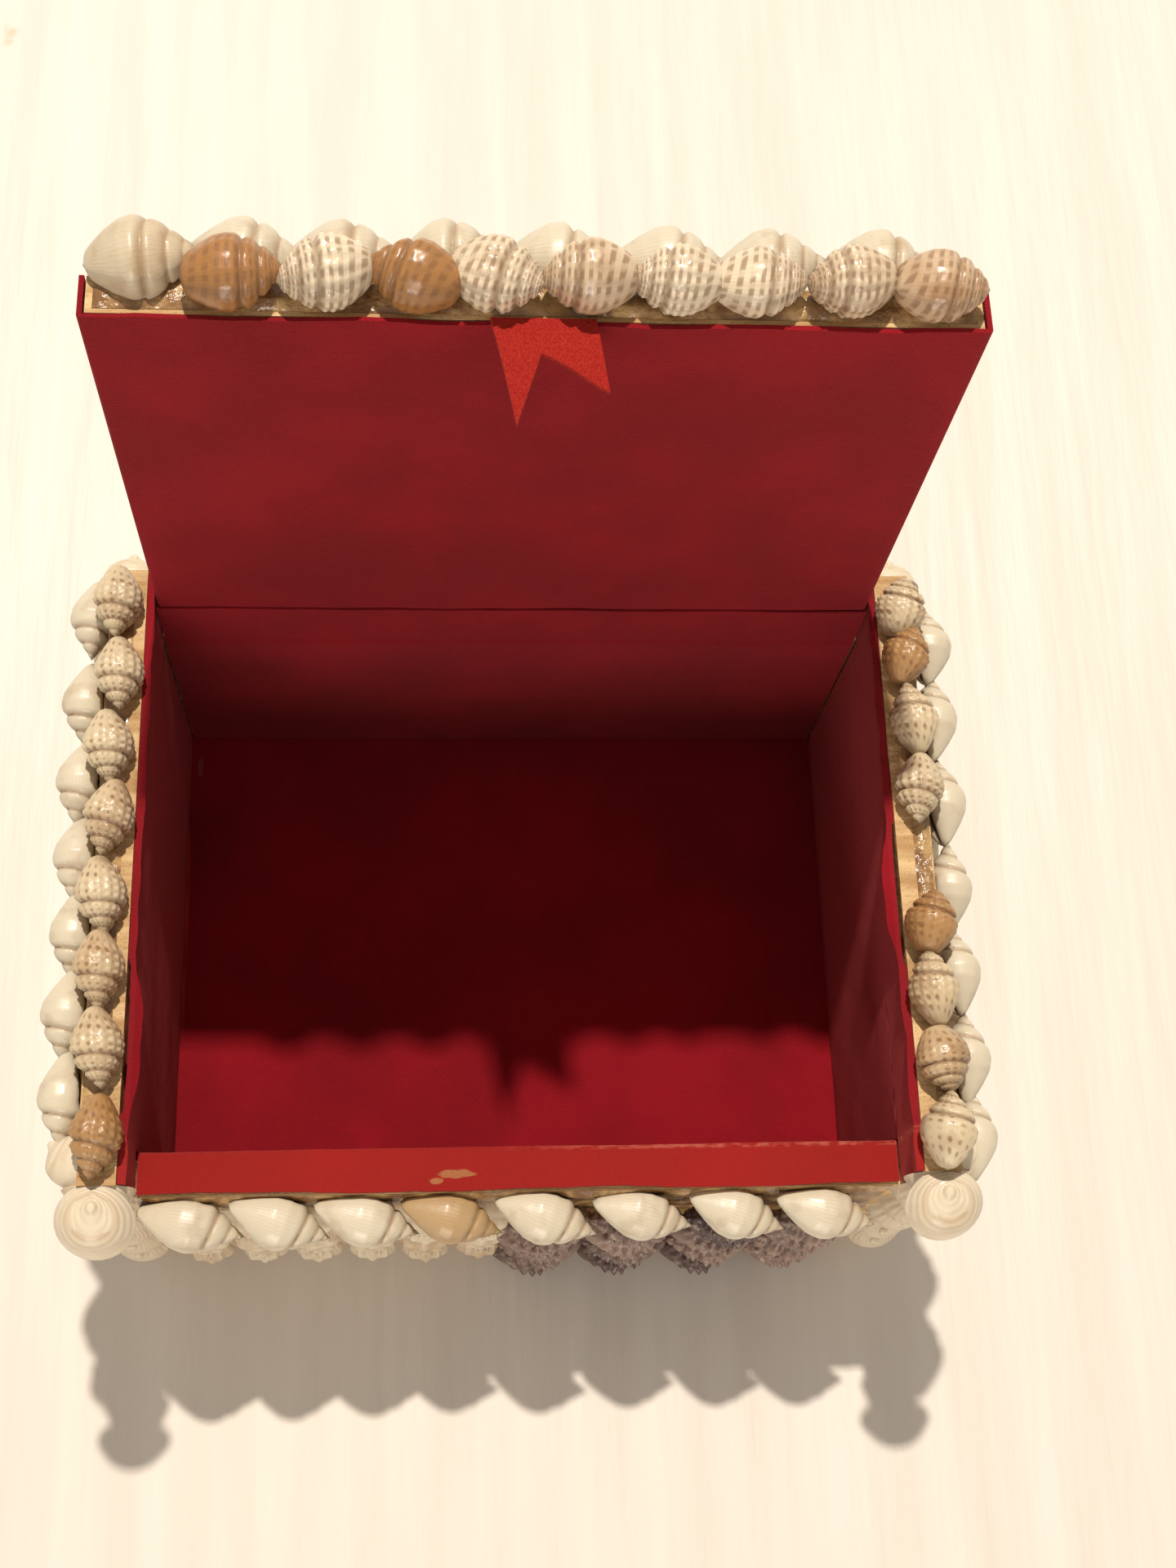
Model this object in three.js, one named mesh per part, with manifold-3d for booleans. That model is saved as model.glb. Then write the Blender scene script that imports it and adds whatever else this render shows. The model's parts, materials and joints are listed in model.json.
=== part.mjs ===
// Keepsake box of thick board, lined with red flocked paper and covered in glued sea shells.
// The lid turns on a fold of the lining along the back wall and stands open, leaning on the wall's top.
// Millimetres, +Z up. The origin is the middle of the base board's underside; the front faces -Y.
import * as THREE from 'three';
import { mergeVertices } from 'three/addons/utils/BufferGeometryUtils.js';
import Module from 'manifold-3d';

const wasm = await Module();
wasm.setup();

// Box body
const INNER_WIDTH = 140;
const INNER_DEPTH = 102;
const INNER_HEIGHT = 54.5; // floor lining to the ledges that carry the lid
const SIDE_RISE = 13.5; // side walls above those ledges
const WALL = 6.8;
const BASE = 6;
const LINING = 1;
const GLUE = 0.3; // glue line between two pieces

// Lid
const LID_LENGTH = 108;
const LID_BOARD = 6.5;
const LID_SIDE_PLAY = 0.8;
const LID_WRAP = 0.8; // lining on the lid
const LID_SEAT = 0.4; // closed lid above its ledges
const LID_HEEL = 1; // lid's back end from the fold
const OPEN_ANGLE = 91;

// Shells: lengths and radii of spindle-shaped ones, radii and heights of cockle halves
const WHITE = { length: 20.6, radius: 5 };
const SIDE_WHITE = { length: 18, radius: 4.9 };
const CORNER_WHITE = { length: 16, radius: 5.6 };
const SPOTTED = { length: 15.6, radius: 4.3 };
const BANDED = { length: 15, radius: 5.1 };
const ROUGH = { length: 19.5, radius: 5.3 };
const PEBBLE = { radius: 6, height: 5.4 };
const DISC = { radius: 6.5, height: 5 };
const COCKLE_HEIGHT = 6.2;
const SHELL_SIDES = 6;
const COCKLE_SIDES = 7;
const OVERLAP = 0.9; // neighbouring cockles in a row
const SHELL_FLAT = 0.75; // height of a lying shell's axis, in its radii
const ROW_GAP = 0.25; // half the space between rows of cockles
const TABLE_CLEARANCE = 1.2; // lowest shells above the base board's underside

// Rows of shells: how many, how far apart, and the row's middle from the middle of its face
const FRONT_RIM = { count: 8, pitch: 16.8, drop: 0.6, swing: 7 };
const FRONT_ROWS = 4;
const FRONT_PALE = { count: 6, middle: -34.2 };
const FRONT_ROUGH = { count: 4, pitch: 17.2, middle: 30.6 };
const LEFT_TOP = { count: 8, pitch: 14.5 };
const RIGHT_TOP = { count: 9, pitch: 13, lost: 4 };
const TOP_OFFSET = 0.6; // shells on the walls' tops and ends, outward from the walls' middle
const SIDE_RIM = { count: 7, pitch: 15.4, middle: -3.4 };
const SIDE_LAST = { radius: 4.9, at: 54.2 };
const SIDE_ROWS = 3;
const SIDE_COUNT = 6;
const BACK_ROWS = 3;
const BACK_COUNT = 7;
const CORNER_COUNT = 6;
const LEAN = { y: 6, z: -4.6, out: [0, -0.55, 0.83] }; // leaning shell's seat from the wall's top edge
const LID_EDGE = { count: 9, pitch: 13.4, middle: 7.6 };
const LID_RIM = { count: 7, pitch: 16.3, middle: 5.6, inset: 5.4 };
const LID_CORNER = { at: -60.8, inset: 6 };
const LID_ROWS = 5;
const LID_COUNT = 7;
const LID_FIELD = { back: -2.2, front: 12 }; // cockles on the lid: from the fold, and from its free edge

const innerX = INNER_WIDTH / 2;
const boardX = innerX + LINING + GLUE;
const outerX = boardX + WALL;
const innerY = INNER_DEPTH / 2;
const boardY = innerY + LINING + GLUE;
const outerY = boardY + WALL;
const wallFootZ = BASE + GLUE;
const floorZ = wallFootZ + LINING;
const ledgeZ = floorZ + INNER_HEIGHT;
const ledgeBoardZ = ledgeZ - LINING - GLUE;
const sideTopZ = ledgeZ + SIDE_RISE;

const COLOURS = {
  board: { color: 0xc9a273, roughness: 0.75 },
  lining: { color: 0x8c1c26, roughness: 0.95 },
  ribbon: { color: 0xb8322c, roughness: 0.9 },
  white: { color: 0xe9dfcf, roughness: 0.4 },
  spotted: { color: 0xb08a66, roughness: 0.4 },
};

const box = new THREE.Group();
const lid = new THREE.Group();
box.add(lid);
lid.position.set(0, innerY, ledgeZ);
lid.rotation.x = THREE.MathUtils.degToRad(-OPEN_ANGLE);

function addMesh(parent, name, geometry, finish) {
  const mesh = new THREE.Mesh(geometry, new THREE.MeshStandardMaterial({ metalness: 0, ...COLOURS[finish] }));
  mesh.name = name;
  parent.add(mesh);
  return mesh;
}

// Rectangular board between two corners.
function board(low, high) {
  const size = high.map((value, i) => value - low[i]);
  const geometry = new THREE.BoxGeometry(...size);
  return geometry.translate(...low.map((value, i) => value + size[i] / 2));
}

function outline(points) {
  return new THREE.Shape(points.map(([x, y]) => new THREE.Vector2(x, y)));
}

// Outline in Y and Z, carried along X between two places.
function alongX(points, fromX, toX) {
  const geometry = new THREE.ExtrudeGeometry(outline(points), { depth: toX - fromX, bevelEnabled: false });
  geometry.applyMatrix4(new THREE.Matrix4().makeBasis(
    new THREE.Vector3(0, 1, 0), new THREE.Vector3(0, 0, 1), new THREE.Vector3(1, 0, 0)));
  return geometry.translate(fromX, 0, 0);
}

// Outline in X and Z, carried along Y between two places.
function alongY(points, fromY, toY) {
  const geometry = new THREE.ExtrudeGeometry(outline(points), { depth: toY - fromY, bevelEnabled: false });
  geometry.rotateX(Math.PI / 2);
  return geometry.translate(0, toY, 0);
}

function toSolid(geometry) {
  const bare = geometry.clone();
  bare.deleteAttribute('normal');
  bare.deleteAttribute('uv');
  const merged = mergeVertices(bare, 1e-4);
  return new wasm.Manifold(new wasm.Mesh({
    numProp: 3,
    vertProperties: new Float32Array(merged.attributes.position.array),
    triVerts: new Uint32Array(merged.index.array),
  }));
}

function toGeometry(solid) {
  const mesh = solid.getMesh();
  const geometry = new THREE.BufferGeometry();
  geometry.setAttribute('position', new THREE.BufferAttribute(mesh.vertProperties, 3));
  geometry.setIndex(new THREE.BufferAttribute(mesh.triVerts, 1));
  geometry.computeVertexNormals();
  return geometry;
}

// Turned profile of radii and heights, sized and stood on the plane z = 0.
function turned(profile, radius, height, sides) {
  const points = profile.map(([r, h]) => new THREE.Vector2(r * radius, h * height));
  const geometry = new THREE.LatheGeometry(points, sides);
  return geometry.rotateX(Math.PI / 2);
}

function reshape(geometry, change) {
  const place = geometry.attributes.position;
  const point = new THREE.Vector3();
  for (let i = 0; i < place.count; i += 1) {
    point.fromBufferAttribute(place, i);
    change(point);
    place.setXYZ(i, point.x, point.y, point.z);
  }
  return geometry;
}

// Spindle shell lying along X with its blunt spire towards +X, its belly pressed flat on z = 0.
function whelk({ length, radius }) {
  const profile = [[0, 0], [0.52, 0.16], [0.98, 0.48], [0.8, 0.74], [0, 1]];
  const geometry = turned(profile, radius, length, SHELL_SIDES);
  geometry.rotateY(Math.PI / 2).translate(-length / 2, 0, SHELL_FLAT * radius);
  return reshape(geometry, (point) => {
    point.z = Math.max(point.z, 0);
  });
}

// Half of a cockle: a low dome, narrower towards its beak at +Y.
function cockle({ radius, height }) {
  const geometry = turned([[0, 0], [1, 0.06], [0.76, 0.68], [0, 1]], radius, height, COCKLE_SIDES);
  return reshape(geometry, (point) => {
    point.x *= 1 - 0.45 * Math.max(point.y / radius - 0.3, 0);
  });
}

// A face that shells are glued to: origin, direction of the row, direction out of the face.
function face(origin, along, out) {
  const rowAxis = new THREE.Vector3(...along);
  const outAxis = new THREE.Vector3(...out).normalize();
  const upAxis = new THREE.Vector3().crossVectors(outAxis, rowAxis);
  return new THREE.Matrix4().makeBasis(rowAxis, upAxis, outAxis).setPosition(...origin);
}

// Row of shells that touch, joined into one solid. Each entry gives the shell's geometry, its place
// along the row, and optionally its turn on the face, its swing out of the face or a face of its own.
function row(parent, name, finish, onFace, shells) {
  const solids = shells.map(({ shape, at, turn = 0, swing = 0, ownFace = onFace }) => {
    const geometry = shape.clone();
    geometry.rotateY(THREE.MathUtils.degToRad(-swing));
    geometry.rotateZ(THREE.MathUtils.degToRad(turn));
    geometry.computeBoundingBox();
    geometry.translate(at, 0, GLUE - geometry.boundingBox.min.z);
    return toSolid(geometry.applyMatrix4(ownFace));
  });
  const joined = solids.reduce((sum, solid) => sum.add(solid));
  return addMesh(parent, name, toGeometry(joined), finish);
}

function cocklePitch(radius) {
  return 2 * radius * Math.cos(Math.PI / (2 * COCKLE_SIDES)) - OVERLAP;
}

// Even places along a row, centred on its middle.
function places(count, pitch, middle = 0) {
  return Array.from({ length: count }, (_, i) => middle + (i - (count - 1) / 2) * pitch);
}

// Boards of the box: the side walls run the full depth and stand above the front and back walls.
addMesh(box, 'base_board', board([-outerX, -outerY, 0], [outerX, outerY, BASE]), 'board');
for (const [name, sign] of [['front_wall', -1], ['back_wall', 1]]) {
  const ys = [sign * boardY, sign * outerY].sort((a, b) => a - b);
  const wall = board([-(boardX - GLUE), ys[0], wallFootZ], [boardX - GLUE, ys[1], ledgeBoardZ]);
  addMesh(box, name, wall, 'board');
}
for (const [name, sign] of [['left_wall', -1], ['right_wall', 1]]) {
  const xs = [sign * boardX, sign * outerX].sort((a, b) => a - b);
  addMesh(box, name, board([xs[0], -outerY, wallFootZ], [xs[1], outerY, sideTopZ]), 'board');
}

// Linings: the front and back ones fold over their walls' tops and make the ledges under the lid.
const liningFootZ = floorZ + GLUE;
const floorX = innerX + LINING;
const floorY = innerY + LINING;
addMesh(box, 'floor_lining', board([-floorX, -floorY, wallFootZ], [floorX, floorY, floorZ]), 'lining');
for (const [name, sign] of [['front_lining', -1], ['back_lining', 1]]) {
  const fold = [
    [innerY, liningFootZ], [floorY, liningFootZ], [floorY, ledgeZ - LINING],
    [outerY, ledgeZ - LINING], [outerY, ledgeZ], [innerY, ledgeZ],
  ].map(([y, z]) => [sign * y, z]);
  addMesh(box, name, alongX(fold, -(innerX - GLUE), innerX - GLUE), 'lining');
}
for (const [name, fromX] of [['left_lining', -floorX], ['right_lining', innerX]]) {
  const low = innerY - GLUE;
  const high = outerY - GLUE;
  const side = [
    [-low, liningFootZ], [low, liningFootZ], [low, ledgeZ + GLUE], [high, ledgeZ + GLUE],
    [high, sideTopZ], [-high, sideTopZ], [-high, ledgeZ + GLUE], [-low, ledgeZ + GLUE],
  ];
  addMesh(box, name, alongX(side, fromX, fromX + LINING), 'lining');
}

// Lid, drawn closed: it reaches from the fold towards -Y, with its lined face down.
const lidX = innerX - LID_SIDE_PLAY;
const lidBoardX = lidX - LID_WRAP - GLUE;
const lidBoardZ = LID_SEAT + LID_WRAP + GLUE;
const lidTopZ = lidBoardZ + LID_BOARD;
const lidBoard = board([-lidBoardX, -LID_LENGTH, lidBoardZ], [lidBoardX, -LID_HEEL, lidTopZ]);
addMesh(lid, 'lid_board', lidBoard, 'board');
const wrap = [
  [-lidX, LID_SEAT], [lidX, LID_SEAT], [lidX, lidTopZ], [lidX - LID_WRAP, lidTopZ],
  [lidX - LID_WRAP, LID_SEAT + LID_WRAP], [-lidX + LID_WRAP, LID_SEAT + LID_WRAP],
  [-lidX + LID_WRAP, lidTopZ], [-lidX, lidTopZ],
];
addMesh(lid, 'lid_lining', alongY(wrap, -LID_LENGTH, -LID_HEEL), 'lining');

// Pull tab: a swallow-tailed felt ribbon glued on the lid's free edge, standing out past its lined face.
const TAB_WIDTH = 16;
const TAB_THICKNESS = 0.9;
const TAB_LONG = 16;
const TAB_SHORT = 11;
const TAB_NOTCH = 5;
const tab = [
  [-TAB_WIDTH / 2, lidBoardZ - GLUE], [-TAB_WIDTH / 2 + 4, -TAB_LONG], [-0.5, -TAB_NOTCH],
  [TAB_WIDTH / 2 + 2, -TAB_SHORT], [TAB_WIDTH / 2, lidBoardZ - GLUE],
];
const tabY = -LID_LENGTH - GLUE;
addMesh(lid, 'pull_tab', alongY(tab, tabY - TAB_THICKNESS, tabY), 'ribbon');

// Shells on the front wall: white whelks along the top with their tips swung out to the right,
// and four rows below, pale round shells on the left half and rough dark ones on the right.
const rimZ = ledgeZ - FRONT_RIM.drop;
const whiteShape = whelk(WHITE);
const frontTopZ = rimZ - WHITE.radius;
row(box, 'front_top_shells', 'white', face([0, -outerY, frontTopZ], [1, 0, 0], [0, -1, 0]),
  places(FRONT_RIM.count, FRONT_RIM.pitch).map((at) => ({ shape: whiteShape, at, swing: FRONT_RIM.swing })));
const frontRowPitch = (frontTopZ - WHITE.radius - TABLE_CLEARANCE) / FRONT_ROWS;
const pebble = cockle(PEBBLE);
const roughShape = whelk(ROUGH);
for (let i = 0; i < FRONT_ROWS; i += 1) {
  const z = TABLE_CLEARANCE + (FRONT_ROWS - 0.5 - i) * frontRowPitch;
  const turn = 180 * (i % 2);
  const pale = places(FRONT_PALE.count, cocklePitch(PEBBLE.radius), FRONT_PALE.middle)
    .map((at) => ({ shape: pebble, at, turn }));
  const dark = places(FRONT_ROUGH.count, FRONT_ROUGH.pitch, FRONT_ROUGH.middle)
    .map((at) => ({ shape: roughShape, at, turn }));
  const onFront = face([0, -outerY, z], [1, 0, 0], [0, -1, 0]);
  row(box, `front_shells_${i + 1}`, 'white', onFront, [...pale, ...dark]);
}

// Shells on the side walls: spotted ones on the top edges, white ones high on the outside and cockles
// below. One spotted shell has come off the right wall and left bare board.
const spottedShape = whelk(SPOTTED);
const topX = (boardX + outerX) / 2 + TOP_OFFSET;
const onTopEdge = (x) => face([x, 0, sideTopZ], [0, -1, 0], [0, 0, 1]);
const leftTop = places(LEFT_TOP.count, LEFT_TOP.pitch).map((at) => ({ shape: spottedShape, at }));
const rightTop = places(RIGHT_TOP.count, RIGHT_TOP.pitch)
  .map((at) => ({ shape: spottedShape, at, turn: 180 }));
row(box, 'left_top_shells', 'spotted', onTopEdge(-topX), leftTop);
row(box, 'right_top_shells_back', 'spotted', onTopEdge(topX), rightTop.slice(0, RIGHT_TOP.lost));
row(box, 'right_top_shells_front', 'spotted', onTopEdge(topX), rightTop.slice(RIGHT_TOP.lost + 1));
const sideWhiteShape = whelk(SIDE_WHITE);
const sideWhiteZ = sideTopZ - SIDE_WHITE.radius;
const sideRowPitch = (sideWhiteZ - SIDE_WHITE.radius - TABLE_CLEARANCE) / SIDE_ROWS;
const sideRadius = sideRowPitch / 2 - ROW_GAP;
const sideCockle = cockle({ radius: sideRadius, height: COCKLE_HEIGHT });
for (const [side, sign] of [['left', -1], ['right', 1]]) {
  const onSide = (z) => face([sign * outerX, 0, z], [0, -1, 0], [sign, 0, 0]);
  const turn = sign < 0 ? 0 : 180;
  const whites = places(SIDE_RIM.count, SIDE_RIM.pitch, SIDE_RIM.middle)
    .map((at) => ({ shape: sideWhiteShape, at, turn }));
  const last = { shape: cockle({ radius: SIDE_LAST.radius, height: COCKLE_HEIGHT }), at: SIDE_LAST.at };
  row(box, `${side}_shells_1`, 'white', onSide(sideWhiteZ), [...whites, last]);
  for (let i = 0; i < SIDE_ROWS; i += 1) {
    const z = TABLE_CLEARANCE + (SIDE_ROWS - 0.5 - i) * sideRowPitch;
    row(box, `${side}_shells_${i + 2}`, 'white', onSide(z),
      places(SIDE_COUNT, cocklePitch(sideRadius)).map((at) => ({ shape: sideCockle, at, turn: 180 - turn })));
  }
}

// Cockles on the back wall.
const backRowPitch = (rimZ - TABLE_CLEARANCE) / BACK_ROWS;
const backRadius = backRowPitch / 2 - ROW_GAP;
const backCockle = cockle({ radius: backRadius, height: COCKLE_HEIGHT });
for (let i = 0; i < BACK_ROWS; i += 1) {
  const z = TABLE_CLEARANCE + (BACK_ROWS - 0.5 - i) * backRowPitch;
  row(box, `back_shells_${i + 1}`, 'white', face([0, outerY, z], [-1, 0, 0], [0, 1, 0]),
    places(BACK_COUNT, cocklePitch(backRadius)).map((at) => ({ shape: backCockle, at })));
}

// A column of round shells over each end of the side walls. The topmost one on the front leans back
// over the corner, its face up.
const disc = cockle(DISC);
const discPitch = (sideTopZ - TABLE_CLEARANCE - 2 * DISC.radius) / (CORNER_COUNT - 1);
for (const [end, sy] of [['front', -1], ['back', 1]]) {
  for (const [side, sx] of [['left', -1], ['right', 1]]) {
    const onEnd = face([sx * topX, sy * outerY, (sideTopZ + TABLE_CLEARANCE) / 2], [0, 0, 1], [0, sy, 0]);
    const column = places(CORNER_COUNT, discPitch).map((at) => ({ shape: disc, at, turn: -90 }));
    if (sy < 0) {
      const ownFace = face([sx * topX, -outerY - LEAN.y, sideTopZ + LEAN.z], [1, 0, 0], LEAN.out);
      column.push({ shape: disc, at: 0, ownFace });
    }
    row(box, `${end}_${side}_end_shells`, 'white', onEnd, column);
  }
}

// Shells on the lid: banded ones on its free edge, one large and seven white ones along that edge of
// the outer face, and cockles over the rest.
const bandedShape = whelk(BANDED);
const edgeZ = LID_SEAT + BANDED.radius;
row(lid, 'lid_edge_shells', 'spotted', face([0, -LID_LENGTH, edgeZ], [1, 0, 0], [0, -1, 0]),
  places(LID_EDGE.count, LID_EDGE.pitch, LID_EDGE.middle).map((at) => ({ shape: bandedShape, at })));
const onTop = (y) => face([0, y, lidTopZ], [1, 0, 0], [0, 0, 1]);
const firstY = -LID_LENGTH + LID_RIM.inset;
row(lid, 'lid_shells_1', 'white', onTop(firstY),
  places(LID_RIM.count, LID_RIM.pitch, LID_RIM.middle).map((at) => ({ shape: sideWhiteShape, at })));
row(lid, 'lid_corner_shell', 'white', onTop(-LID_LENGTH + LID_CORNER.inset),
  [{ shape: whelk(CORNER_WHITE), at: LID_CORNER.at }]);
const lidFieldFront = -LID_LENGTH + LID_FIELD.front;
const lidRowPitch = (LID_FIELD.back - lidFieldFront) / LID_ROWS;
const lidRadius = lidRowPitch / 2 - ROW_GAP;
const lidCockle = cockle({ radius: lidRadius, height: COCKLE_HEIGHT });
for (let i = 0; i < LID_ROWS; i += 1) {
  const y = lidFieldFront + (i + 0.5) * lidRowPitch;
  row(lid, `lid_shells_${i + 2}`, 'white', onTop(y),
    places(LID_COUNT, cocklePitch(lidRadius)).map((at) => ({ shape: lidCockle, at })));
}

export default box;
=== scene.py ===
# Keepsake box of thick board, lined with red flocked paper and covered all over in glued sea shells.
# The box is built up in the order of its making: boards, linings, hinge fold, ribbon, glue, shells.
import json
import math

import bpy
import numpy as np
from mathutils import Matrix, Vector


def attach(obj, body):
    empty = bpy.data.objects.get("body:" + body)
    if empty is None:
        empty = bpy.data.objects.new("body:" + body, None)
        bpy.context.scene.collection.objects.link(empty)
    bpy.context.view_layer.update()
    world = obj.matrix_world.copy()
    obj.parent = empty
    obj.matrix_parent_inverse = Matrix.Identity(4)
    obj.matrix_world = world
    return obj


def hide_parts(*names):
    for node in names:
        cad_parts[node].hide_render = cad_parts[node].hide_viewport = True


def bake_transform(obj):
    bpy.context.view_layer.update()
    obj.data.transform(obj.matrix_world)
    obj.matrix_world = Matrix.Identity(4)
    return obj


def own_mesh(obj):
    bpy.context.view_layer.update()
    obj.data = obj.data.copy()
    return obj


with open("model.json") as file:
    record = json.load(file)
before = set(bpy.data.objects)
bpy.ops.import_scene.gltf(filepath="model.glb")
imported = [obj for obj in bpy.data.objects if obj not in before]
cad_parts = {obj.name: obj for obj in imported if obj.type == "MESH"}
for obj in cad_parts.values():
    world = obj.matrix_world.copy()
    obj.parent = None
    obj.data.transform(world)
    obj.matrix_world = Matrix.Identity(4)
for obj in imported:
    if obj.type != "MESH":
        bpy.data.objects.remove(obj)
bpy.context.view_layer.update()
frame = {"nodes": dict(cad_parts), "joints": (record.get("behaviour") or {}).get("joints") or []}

# --- Boards ---------------------------------------------------------------------------------------
# Six pieces of thick pressed board, sawn square and glued edge to edge. They show as a tan strip
# beside the linings and where a shell has come off. The surface is faintly streaked along the board.
BOARDS = ("base_board", "front_wall", "back_wall", "left_wall", "right_wall", "lid_board")


def colour(red, green, blue):
    """Linear colour of a display colour given in 0 to 255."""
    shares = [channel / 255 for channel in (red, green, blue)]
    return (*[s / 12.92 if s <= 0.04045 else ((s + 0.055) / 1.055) ** 2.4 for s in shares], 1.0)


class Value:
    """A number that varies over a surface. Python arithmetic on it adds the Math nodes."""

    def __init__(self, finish, socket):
        self.finish, self.socket = finish, socket

    def math(self, operation, *numbers):
        return self.finish.node("ShaderNodeMath", {"operation": operation}, dict(enumerate(numbers)))

    def __add__(self, other):
        return self.math("ADD", self, other)

    def __mul__(self, other):
        return self.math("MULTIPLY", self, other)

    def __sub__(self, other):
        return self.math("SUBTRACT", self, other)

    def __truediv__(self, other):
        return self.math("DIVIDE", self, other)

    def __rsub__(self, other):
        return self.math("SUBTRACT", other, self)

    def __pow__(self, other):
        return self.math("POWER", self, other)

    __radd__, __rmul__ = __add__, __mul__

    def __abs__(self):
        return self.math("ABSOLUTE", self)

    def sine(self):
        """The sine of a value in radians."""
        return self.math("SINE", self)

    def within_turn(self):
        """The part after the decimal point."""
        return self.math("FRACT", self)

    def rise(self, low, high):
        """0 below low, 1 above high and smooth between. With high below low it falls instead."""
        return self.finish.node("ShaderNodeMapRange", {"interpolation_type": "SMOOTHSTEP"},
                                {"Value": self, "From Min": low, "From Max": high})


class Finish:
    """A node material: a Principled shader with its constants, and node() for everything else."""

    def __init__(self, name, **constants):
        self.material = bpy.data.materials.new(name)
        self.material.use_nodes = True
        self.tree = self.material.node_tree
        self.shader = self.tree.nodes["Principled BSDF"]
        for socket, value in constants.items():
            self.shader.inputs[socket.replace("_", " ")].default_value = value
        self.place = self.node("ShaderNodeTexCoord", {}, {}, "Object")

    def node(self, kind, settings, inputs, output=0):
        """Adds a node, gives it its settings and then its sockets' values or links."""
        made = self.tree.nodes.new(kind)
        for name, value in settings.items():
            setattr(made, name, value)
        for socket, value in inputs.items():
            if isinstance(value, Value):
                self.tree.links.new(value.socket, made.inputs[socket])
            else:
                made.inputs[socket].default_value = value
        return Value(self, made.outputs[output])

    def noise(self, scale, detail=3.0, stretch=(1, 1, 1)):
        """Cloudy noise, scale in blobs per metre, drawn out along an axis where stretch is small."""
        place = self.node("ShaderNodeMapping", {}, {"Vector": self.place, "Scale": stretch})
        return self.node("ShaderNodeTexNoise", {}, {"Vector": place, "Scale": scale, "Detail": detail})

    def between(self, share, first, second):
        """Colour that goes from first to second with share."""
        return self.node("ShaderNodeMix", {"data_type": "RGBA"}, {0: share, 6: first, 7: second}, 2)

    def parts(self, vector):
        """A vector's three numbers."""
        split = self.node("ShaderNodeSeparateXYZ", {}, {0: vector}).socket.node
        return [Value(self, socket) for socket in split.outputs]

    def attribute(self, name):
        """A number stored on the mesh's points."""
        return self.node("ShaderNodeAttribute", {"attribute_name": name}, {}, "Fac")

    def connect(self, depth=0.0, height=None, **inputs):
        """Links what varies to the shader; height becomes relief of that depth in metres."""
        if height is not None:
            inputs["Normal"] = self.node("ShaderNodeBump", {}, {"Distance": depth, "Height": height})
        for socket, value in inputs.items():
            self.tree.links.new(value.socket, self.shader.inputs[socket.replace("_", " ")])


board = Finish("pressed_board", Specular_IOR_Level=0.35)
streaks = board.noise(420, 4, (0.12, 1, 1))
flecks = board.noise(1900, 2)
tan = board.between(streaks.rise(0.35, 0.68), colour(176, 138, 92), colour(214, 182, 134))
tan = board.between(flecks.rise(0.58, 0.72) * 0.5, tan, colour(128, 92, 58))
board.connect(Base_Color=tan, Roughness=0.62 + 0.2 * flecks, height=streaks + 0.5 * flecks, depth=0.0004)
for name in BOARDS:
    node = frame["nodes"][name]
    node.data.materials.clear()
    node.data.materials.append(board.material)

# --- Linings --------------------------------------------------------------------------------------
# Red flocked paper about a millimetre thick, one cut piece per surface. The front and back pieces
# fold over their walls' tops as the ledges under the lid; the side pieces have let go along the top.
MM = 0.001
INNER_X, INNER_Y, OUTER_Y = 70.0, 51.0, 59.1
FLOOR_Z, FOOT_Z, LEDGE_Z, SIDE_TOP_Z = 7.3, 7.6, 61.8, 75.3
LINING = 1.0
hinge = frame["joints"][0]
OPEN_DEGREES = hinge["range_deg"][1]
HINGE = Matrix.Translation(Vector(hinge["pos_m"]) / MM)
LID_FRAME = HINGE @ Matrix.Rotation(-math.radians(OPEN_DEGREES), 4, "X")


def moved(points, matrix):
    """Points carried by a 4x4 matrix."""
    carry = np.array(matrix)
    return points @ carry[:3, :3].T + carry[:3, 3]


def ripple(a, b, seed, longest, waves=9):
    """Uneven height of about -1 to 1: a sum of sines, each with a random direction and phase, and
    each shorter and lower than the one before, from the longest wave down."""
    rng = np.random.default_rng(seed)
    total = np.zeros(np.broadcast(a, b).shape)
    for i in range(waves):
        heading, phase = rng.uniform(0, 2 * np.pi, 2)
        rate = 2 * np.pi / longest * 1.32**i
        total = total + 1.25**-i * np.sin(rate * (a * np.cos(heading) + b * np.sin(heading)) + phase)
    return total / 2.4


def squares(grid):
    """The four corners of each square of a grid, going round it."""
    return np.stack([grid[:-1, :-1], grid[1:, :-1], grid[1:, 1:], grid[:-1, 1:]], 2)


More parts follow.
